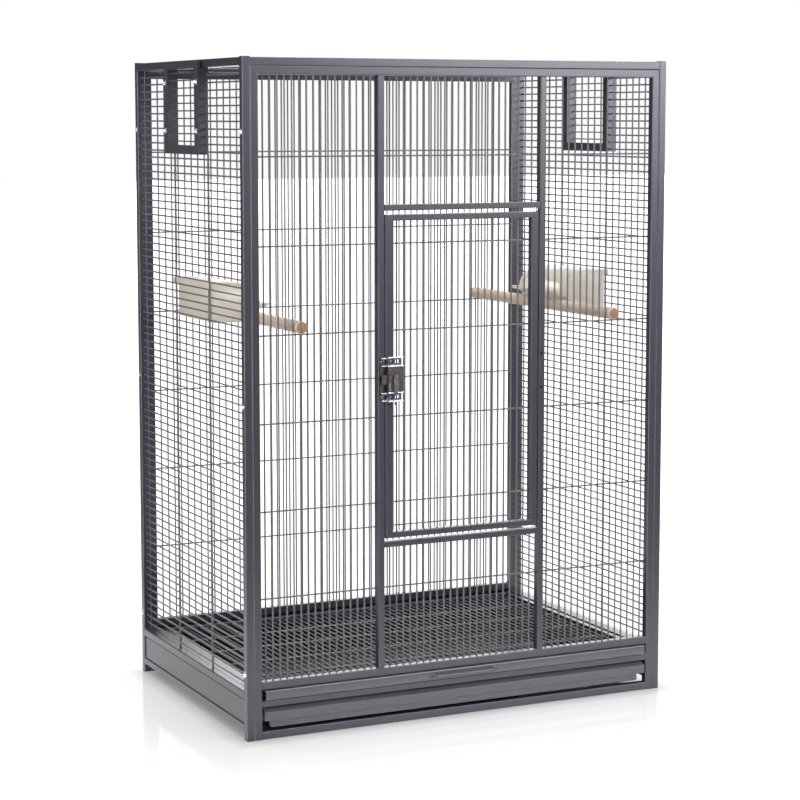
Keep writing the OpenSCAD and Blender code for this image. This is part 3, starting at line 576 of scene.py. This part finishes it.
def perch(name):
    """A turned perch with rounded ends, notched for the bars, along the line of the CAD one."""
    low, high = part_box(name)
    points = [v.co for v in frame["nodes"][name].data.vertices]
    ends = []
    for y in (low.y, high.y):
        near = [p for p in points if abs(p.y - y) < END_ZONE]
        ends.append(Vector(((min(p.x for p in near) + max(p.x for p in near)) / 2, y,
                            (low.z + high.z) / 2)))
    way = ends[1] - ends[0]
    length, radius, fillet = way.length, (high.z - low.z) / 2, 2.4 * MM
    start = [(radius - fillet + fillet * math.sin(a), fillet - fillet * math.cos(a))
             for a in (math.radians(d) for d in range(0, 91, 15))]
    profile = [(0, 0)] + start
    for k in range(1, RINGS):
        profile.append((radius * chance.uniform(0.992, 1.0), fillet + (length - 2 * fillet) * k / RINGS))
    profile += [(r, length - h) for r, h in reversed(start)] + [(0, length)]
    rod = bmesh.new()
    lathe(rod, profile, facing(ends[0], way), 40)
    notches = []
    for end, inward in ((ends[0], 1), (ends[1], -1)):
        notch = bmesh.new()
        ys = sorted((end.y - inward * MM, end.y + inward * NOTCH_L))
        block(notch, (end.x - NOTCH_W / 2, ys[0], low.z - MM), (end.x + NOTCH_W / 2, ys[1], high.z + MM))
        notches.append(notch)
    piece(cut_from(rod, notches), name + "_turned", BEECH, BODY[name], SLOT[name], (name,))


cup("cup_left", -1)
cup("cup_right", 1)
perch("perch_left")
perch("perch_right")


# Welds

def blob(made, at, size):
    """A small uneven weld nugget."""
    turn = Matrix.Rotation(chance.uniform(0, 6), 4, "Z")
    grow = Matrix.Diagonal((*[s * chance.uniform(0.9, 1.12) for s in size], 1))
    where = Matrix.Translation(at) @ (turn @ grow)
    lathe(made, [(0, -1), (0.72, -0.7), (1, 0), (0.72, 0.7), (0, 1)], where, 8)


ROOM = 0.35 * MM


def crossing_welds(pairs, name, body, radius):
    """Nuggets where two sets of wires cross, and beads where the second set ends."""
    made = bmesh.new()
    for bars, wires in pairs:
        bar_boxes, wire_boxes = solids(bars), solids(wires)
        for wire_low, wire_high in wire_boxes:
            for bar_low, bar_high in bar_boxes:
                inner = [max(a, b) for a, b in zip(wire_low, bar_low)]
                outer = [min(a, b) for a, b in zip(wire_high, bar_high)]
                if all(b - a > -ROOM for a, b in zip(inner, outer)):
                    blob(made, (Vector(inner) + Vector(outer)) / 2, (radius, radius, radius))
            size = wire_high - wire_low
            axis = max(range(3), key=lambda i: size[i])
            for end in (wire_low[axis], wire_high[axis]):
                at = (wire_low + wire_high) / 2
                at[axis] = end
                spread = [1.5 * radius] * 3
                spread[axis] = 0.8 * radius
                blob(made, at, spread)
    piece(made, name, WIRES_PAINTED_HIGHLIGHT, body, "coated_steel", sharp=60)


crossing_welds((("front_bars", "front_crosswires"), ("back_bars", "back_crosswires"),
                ("roof_bars", "roof_crosswires")), "panel_welds", "cage", 1.35 * MM)
crossing_welds((("left_wires", "cup_uprights"), ("right_wires", "cup_uprights")), "upright_welds", "cage", 1.5 * MM)
crossing_welds((("door_bars", "door_crosswires"),), "door_welds", "door", 1.35 * MM)
crossing_welds((("grate_wires", "grate_crosswires_row"),), "grate_welds", "grate", 1.6 * MM)


def end_beads(name, nodes):
    """Weld beads at both ends of the wires of the side walls, coloured pale as painted glints."""
    made = bmesh.new()
    for node in nodes:
        for low, high in solids(node):
            for y, inward in ((low.y, 1), (high.y, -1)):
                blob(made, ((low.x + high.x) / 2, y + inward * 0.6 * MM, (low.z + high.z) / 2),
                     (1.5 * MM, 1.1 * MM, 1.5 * MM))
    piece(made, name, WELD_PAINTED_GLINT, "cage", "coated_steel", sharp=60)


end_beads("side_wire_welds", ("left_wires", "right_wires"))


BEAD_HALF, BEAD_SUNK, BEAD_STEPS = 0.7 * MM, 0.1 * MM, 24


def mitre_beads(name, body, corners):
    """Low weld beads along the mitred corners of a frame, each from one point to another on its front."""
    made = bmesh.new()
    for start, end, out in corners:
        start, end, out = Vector(start), Vector(end), Vector(out)
        along = end - start
        across = along.cross(out).normalized() * BEAD_HALF
        rows = []
        for k in range(BEAD_STEPS + 1):
            t = k / BEAD_STEPS
            fade = math.sin(math.pi * t) ** 0.4
            rise = out * (0.12 + 0.1 * fade + 0.05 * math.sin(9 * math.pi * t)) * MM
            here = start + along * t
            sunk = out * BEAD_SUNK
            rows.append([made.verts.new(here - across * fade - sunk), made.verts.new(here + rise),
                         made.verts.new(here + across * fade - sunk)])
        for a, b in zip(rows, rows[1:]):
            made.faces.new((a[0], b[0], b[1], a[1]))
            made.faces.new((a[1], b[1], b[2], a[2]))
    bmesh.ops.recalc_face_normals(made, faces=made.faces)
    piece(made, name, TUBES, body, "coated_steel", sharp=60)


def frame_corners(low, high, wide, tall, out, four):
    """The mitre lines of a rectangular frame: its upper two corners, or all four."""
    y = low.y if out[1] < 0 else high.y
    lines = []
    for x, dx in ((low.x, wide), (high.x, -wide)):
        lines.append(((x, y, high.z), (x + dx, y, high.z - tall), out))
        if four:
            lines.append(((x, y, low.z), (x + dx, y, low.z + tall), out))
    return lines


TUBE, RAIL = 13.5 * MM, 10.5 * MM
front, back = (0, -1, 0), (0, 1, 0)
mitre_beads("panel_mitre_welds", "cage", frame_corners(*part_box("front_stiles"), TUBE, TUBE, front, False)
            + frame_corners(*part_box("back_stiles"), TUBE, TUBE, back, False))
mitre_beads("door_mitre_welds", "door", frame_corners(*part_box("door_stiles"), TUBE, RAIL, front, True)
            + frame_corners(*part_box("door_stiles"), TUBE, RAIL, back, True))


# Base

PROUD_GRATE, PROUD_TRAY = 6 * MM, 3 * MM
LEFT_GAP, GRATE_RIGHT_GAP, TRAY_RIGHT_GAP = 2.5 * MM, 4 * MM, 1.5 * MM
LIP_LOWER, ROWS_UP, TUBE_LIP = 4 * MM, 4.1 * MM, 0.3 * MM


def open_tube(name, wall, corner):
    """A hollow tube along X with rounded corners and open ends, in a node's box, its front a little proud."""
    low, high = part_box(name)
    low += Vector((LEFT_GAP, -PROUD_GRATE, 0))
    high.x -= GRATE_RIGHT_GAP

    def ring(x, inset):
        radius = max(corner - inset, TUBE_LIP)
        y0, y1, z0, z1 = low.y + inset, high.y - inset, low.z + inset, high.z - inset
        points = []
        for cy, cz, turn in ((y1 - radius, z1 - radius, 0), (y0 + radius, z1 - radius, 90),
                             (y0 + radius, z0 + radius, 180), (y1 - radius, z0 + radius, 270)):
            for k in range(6):
                a = math.radians(turn + 18 * k)
                points.append((x, cy + radius * math.cos(a), cz + radius * math.sin(a)))
        return points

    made = bmesh.new()
    rings = [[made.verts.new(p) for p in ring(x, inset)]
             for x, inset in ((low.x, 0.25 * wall), (low.x + TUBE_LIP, 0), (high.x - TUBE_LIP, 0),
                              (high.x, 0.25 * wall), (high.x, wall), (low.x, wall))]
    skin(made, rings + rings[:1])
    piece(made, name + "_tube", finish_for(name), BODY[name], SLOT[name], (name,))


def handle_feet():
    """A washer and a six-sided nut where each leg of the wire pull meets the grate's front."""
    low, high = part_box("grate_handle")
    made = bmesh.new()
    wire = high.z - low.z
    for x in (low.x + wire / 2, high.x - wire / 2):
        where = facing((x, high.y - PROUD_GRATE, (low.z + high.z) / 2), front)
        lathe(made, [(0, 0), (4.6 * MM, 0), (4.6 * MM, 0.8 * MM), (4.3 * MM, 1.0 * MM), (0, 1.0 * MM)], where)
        lathe(made, [(0, 1.0 * MM), (3.6 * MM, 1.0 * MM), (3.7 * MM, 2.6 * MM), (3.2 * MM, 3.2 * MM), (0, 3.3 * MM)],
              where, 6)
    piece(made, "handle_nuts", WIRES_PAINTED_HIGHLIGHT, "grate", "coated_steel", (), 0.15 * MM)


def welded_rows():
    """The grate's cross wires, raised into the wires they are welded to, so that they show from above."""
    made = node_mesh("grate_crosswires_row")
    bmesh.ops.translate(made, verts=made.verts, vec=(0, 0, ROWS_UP))
    piece(made, "grate_crosswires_welded", GRATE_PAINTED_LIGHT, "grate", SLOT["grate_crosswires_row"], ("grate_crosswires_row",))


open_tube("grate_front", 1.2 * MM, 2 * MM)
handle_feet()
welded_rows()


def proud_tray():
    """The tray's folded front, brought forward of the frame, its lip lower and its edges rounded."""
    made = node_mesh("tray_front")
    low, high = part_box("tray_front")
    for vert in made.verts:
        if vert.co.y < (low.y + high.y) / 2:
            vert.co.y -= PROUD_TRAY
        if vert.co.z < low.z + 1 * MM:
            vert.co.z -= LIP_LOWER
        vert.co.x += LEFT_GAP if vert.co.x < 0 else -TRAY_RIGHT_GAP
    piece(made, "tray_front_folded", DRAWER_PAINTED_LIGHT, BODY["tray_front"], SLOT["tray_front"], ("tray_front",), 0.5 * MM)


proud_tray()
for name, bevel in (("nest_frame_left", 0.8), ("nest_frame_right", 0.8), ("latch_case", 1.2),
                    ("latch_brackets", 0.35), ("latch_keeper", 0.35), ("keeper_flanges", 0.3), ("latch_tongue", 0.3),
                    ("latch_lever", 0.8), ("latch_rivet", 0.5), ("post_plugs", 0.5)):
    rounded(name, bevel * MM)


# Latch

BRACKET_T, BRACKET_REACH, SCREW_IN = 1.5 * MM, 15.5 * MM, 11 * MM
RIVETS_Z, RIVET_IN, RIVET_R = (600 * MM, 586 * MM), 3.6 * MM, 1.7 * MM
SPRING_Z, SPRING_RISE, SPRING_IN, SPRING_TURNS = 564 * MM, 15 * MM, 3.4 * MM, 7
SPRING_WIRE, SPRING_COIL = 0.4 * MM, 1.7 * MM


def coil(made, base):
    """A coil spring that rises from a point."""
    steps, sides = 140, 8
    rings = []
    for k in range(steps + 1):
        a = 2 * math.pi * SPRING_TURNS * k / steps
        out = Vector((math.cos(a), math.sin(a), 0))
        flat = Vector((-math.sin(a), math.cos(a), 0)) * 2 * math.pi * SPRING_COIL
        side = (flat + Vector((0, 0, SPRING_RISE / SPRING_TURNS))).normalized().cross(out)
        here = base + out * SPRING_COIL + Vector((0, 0, SPRING_RISE * k / steps))
        rings.append([made.verts.new(here + (out * math.cos(b) + side * math.sin(b)) * SPRING_WIRE)
                      for b in (2 * math.pi * i / sides for i in range(sides))])
    skin(made, rings)


def latch_details():
    """Screws through the brackets, two flush rivets and a spring sunk in the case, and bright zinc lips along the
    brackets' flanges, painted highlights on brackets darkened as painted shade.
    """
    made = bmesh.new()
    case_low, case_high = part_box("latch_case")
    for low, high in solids("latch_brackets"):
        z = (max(low.z, case_low.z - BRACKET_REACH) + min(high.z, case_high.z + BRACKET_REACH)) / 2
        screw(made, Vector((low.x + SCREW_IN, high.y - BRACKET_T - 1.6 * MM, z)), front, 6.4 * MM, 3 * MM)
    for z in RIVETS_Z:
        where = facing((case_low.x + RIVET_IN, case_low.y, z), front)
        lathe(made, [(RIVET_R, -0.5 * MM), (RIVET_R, 0.05 * MM), (1.3 * MM, 0.15 * MM), (0, 0.2 * MM)], where, 20)
    piece(made, "latch_screws", BLUE_ZINC_PAINTED_SHADE, "door", "zinc")
    # Bright zinc lips over the flange edges: painted highlights
    lips = bmesh.new()
    for low, high in solids("latch_brackets"):
        base = max(low.z, case_low.z - BRACKET_REACH)
        for z in (base, high.z - BRACKET_T):
            block(lips, (low.x - 0.2 * MM, low.y - 0.1 * MM, z - 0.15 * MM),
                  (high.x + 0.2 * MM, low.y + 1.2 * MM, z + 1.65 * MM))
    piece(lips, "bracket_lips_painted_highlight", ZINC, "door", "zinc", (), 0.5 * MM)
    spring = bmesh.new()
    coil(spring, Vector((case_low.x + SPRING_IN, case_low.y + SPRING_COIL + SPRING_WIRE - 0.2 * MM, SPRING_Z)))
    piece(spring, "latch_spring", ZINC, "door", "zinc")


latch_details()


# Floor, light and camera

FLOOR_TONE, FLOOR_SIZE, FLOOR_BELOW = 0.52, 30.0, 0.2 * MM


def floor_material():
    """White glossy floor with the object's shadow and a soft reflection. To the camera it glows more with
    the distance from the object; in the object's own reflections it glows most close by."""
    material, tree, shader = new_material("floor_white")
    shader.inputs["Base Color"].default_value = (FLOOR_TONE, FLOOR_TONE, FLOOR_TONE, 1)
    shader.inputs["Roughness"].default_value = 0.07
    shader.inputs["Specular IOR Level"].default_value = 0.5
    parts = add(tree, "ShaderNodeSeparateXYZ", {0: add(tree, "ShaderNodeTexCoord").outputs["Object"]})
    half = (cad_high - cad_low) / 2
    beyond = [sum_of(tree, sum_of(tree, parts.outputs[i], 0.0, "ABSOLUTE"), half[i], "SUBTRACT") for i in (0, 1)]
    clear = ramp(tree, sum_of(tree, *beyond, "MAXIMUM"), -0.06, 0.02)
    out = [sum_of(tree, side, 0.0, "MAXIMUM") for side in beyond]
    far = add(tree, "ShaderNodeVectorMath",
              {0: add(tree, "ShaderNodeCombineXYZ", {0: out[0], 1: out[1]}).outputs[0]}, operation="LENGTH")
    level = sum_of(tree, ramp(tree, far.outputs["Value"], 0.0, 0.45, 0.48, 0.8),
                   ramp(tree, far.outputs["Value"], 0.6, 2.0, 0.0, 0.3))
    path = add(tree, "ShaderNodeLightPath")
    mirrored = ramp(tree, far.outputs["Value"], 0.3, 1.2, 4.0, 0.26)
    left_dim = ramp(tree, parts.outputs[0], -half.x - 0.1, -half.x + 0.1, 0.5, 1.0)
    mirrored = sum_of(tree, mirrored, left_dim, "MULTIPLY")
    gloss = sum_of(tree, path.outputs["Is Glossy Ray"], mirrored, "MULTIPLY")
    seen = sum_of(tree, path.outputs["Is Camera Ray"], gloss, "MAXIMUM")
    seen = sum_of(tree, seen, path.outputs["Is Transmission Ray"], "MAXIMUM")
    shader.inputs["Emission Color"].default_value = (1, 1, 1, 1)
    glow = sum_of(tree, sum_of(tree, seen, level, "MULTIPLY"), clear, "MULTIPLY")
    tree.links.new(glow, shader.inputs["Emission Strength"])
    return material


def make_floor():
    """A wide plane just under the object."""
    grid = bmesh.new()
    bmesh.ops.create_grid(grid, x_segments=1, y_segments=1, size=FLOOR_SIZE)
    mesh = bpy.data.meshes.new("floor")
    grid.to_mesh(mesh)
    grid.free()
    floor = bpy.data.objects.new("floor", mesh)
    scene.collection.objects.link(floor)
    floor.location.z = cad_low.z - FLOOR_BELOW
    floor.data.materials.append(floor_material())
    return floor


def make_world():
    """White to the camera, a plain even light on the object, and in reflections white at the back and
    above, dimmer on the camera's side."""
    world = bpy.data.worlds.new("studio")
    scene.world = world
    world.use_nodes = True
    tree = world.node_tree
    tree.nodes.clear()
    path = add(tree, "ShaderNodeLightPath")
    way = add(tree, "ShaderNodeSeparateXYZ", {0: add(tree, "ShaderNodeTexCoord").outputs["Generated"]})
    across = sum_of(tree, way.outputs[0], 0.75, "MULTIPLY")
    turned = sum_of(tree, across, sum_of(tree, way.outputs[1], 0.66, "MULTIPLY"))
    behind = sum_of(tree, ramp(tree, turned, 0.55, 0.9, 0.1, 1.0), ramp(tree, way.outputs[2], 0.35, 0.8, 0.0, 0.8),
                    "MAXIMUM")
    seen = sum_of(tree, path.outputs["Is Camera Ray"], path.outputs["Is Transmission Ray"], "MAXIMUM")
    gloss = sum_of(tree, path.outputs["Is Glossy Ray"], behind, "MULTIPLY")
    seen = sum_of(tree, seen, gloss, "MAXIMUM")
    dull = sum_of(tree, 1.0, path.outputs["Is Glossy Ray"], "SUBTRACT")
    strength = sum_of(tree, seen, sum_of(tree, dull, 0.4, "MULTIPLY"), "MAXIMUM")
    sky = add(tree, "ShaderNodeBackground", {"Color": (1, 1, 1, 1), "Strength": strength})
    add(tree, "ShaderNodeOutputWorld", {"Surface": sky.outputs[0]})


def softbox(name, place_at, aim, size, power, mirrored=True, lit=True, tint=(1, 1, 1)):
    """A lamp with a flat panel turned to a point, unseen by the camera. Without mirrored it shows in no
    reflection, and without lit it shows only in reflections."""
    light = bpy.data.lights.new(name, "AREA")
    light.color = tint
    light.shape = "RECTANGLE"
    light.size, light.size_y = size
    light.energy = power
    lamp = bpy.data.objects.new(name, light)
    lamp.location = place_at
    lamp.rotation_mode = "QUATERNION"
    lamp.rotation_quaternion = (Vector(aim) - Vector(place_at)).to_track_quat("-Z", "Y")
    lamp.visible_camera = False
    lamp.visible_glossy = mirrored
    lamp.visible_diffuse = lit
    scene.collection.objects.link(lamp)
    return lamp


def make_camera():
    """The photograph's view: from the front, left of the middle, tilted a little down, with a small shift."""
    camera = bpy.data.objects.new("camera", bpy.data.cameras.new("camera"))
    camera.data.sensor_width = 36
    camera.data.lens = 98.507
    camera.data.shift_y = -0.05
    camera.location = (-1.6857, -3.4992, 1.0152)
    camera.rotation_euler = (math.radians(90 - 6.335), 0, math.radians(-25.767))
    scene.collection.objects.link(camera)
    scene.camera = camera


floor = make_floor()
make_world()
middle = (cad_low + cad_high) / 2
softbox("key", (2.2, -3.0, 1.9), middle, (1.6, 1.2), 46)
softbox("sheen", (2.0, -3.0, 1.5), middle, (1.8, 0.9), 92, lit=False, tint=(0.9, 0.9, 1.0))
softbox("edge", (-2.7, -1.3, 1.0), middle, (0.8, 2.2), 150, lit=False)
softbox("ceiling", (1.2, -0.8, 3.2), (0, -0.25, 0.1), (2.2, 1.2), 110, lit=False)
softbox("fill", (-3.0, -1.2, 1.3), middle, (1.5, 1.5), 22, mirrored=False)
softbox("top", (0, 0.4, 3.4), middle, (3.0, 2.4), 76)
behind = softbox("behind", (1.4, 2.6, 1.0), middle, (1.5, 1.5), 28)

# The lamp behind is kept off the floor, which would mirror it
not_floor = bpy.data.collections.new("not_floor")
not_floor.objects.link(floor)
not_floor.collection_objects[0].light_linking.link_state = "EXCLUDE"
behind.light_linking.receiver_collection = not_floor

make_camera()
scene.view_settings.view_transform = "Standard"
